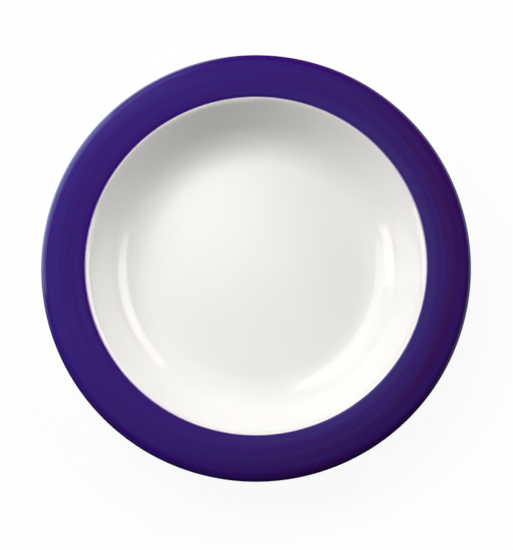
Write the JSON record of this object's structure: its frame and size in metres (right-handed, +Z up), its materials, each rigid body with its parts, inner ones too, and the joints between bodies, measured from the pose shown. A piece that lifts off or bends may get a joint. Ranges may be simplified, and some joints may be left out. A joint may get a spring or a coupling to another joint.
{
  "type": "rimmed soup plate",
  "caption": "Round porcelain soup plate: deep white well, wide domed rim under violet-blue glaze, and a bare foot ring.",
  "frame": {"origin": "centre of the foot ring, at the height of the table that it stands on", "axes": "+Z up along the plate's axis of revolution; X and Y lie in the table and are free, because the plate is round"},
  "size_m": [0.23, 0.23, 0.037],
  "materials": {
    "bisque_porcelain": "matte",
    "violet_blue_rim_glaze": "gloss",
    "clear_glaze": "gloss"
  },
  "bodies": {
    "root": {"porcelain_body": "bisque_porcelain", "rim_glaze": "violet_blue_rim_glaze", "well_glaze": "clear_glaze", "underside_glaze": "clear_glaze", "foot_recess_glaze": "clear_glaze"}
  },
  "joints": []
}
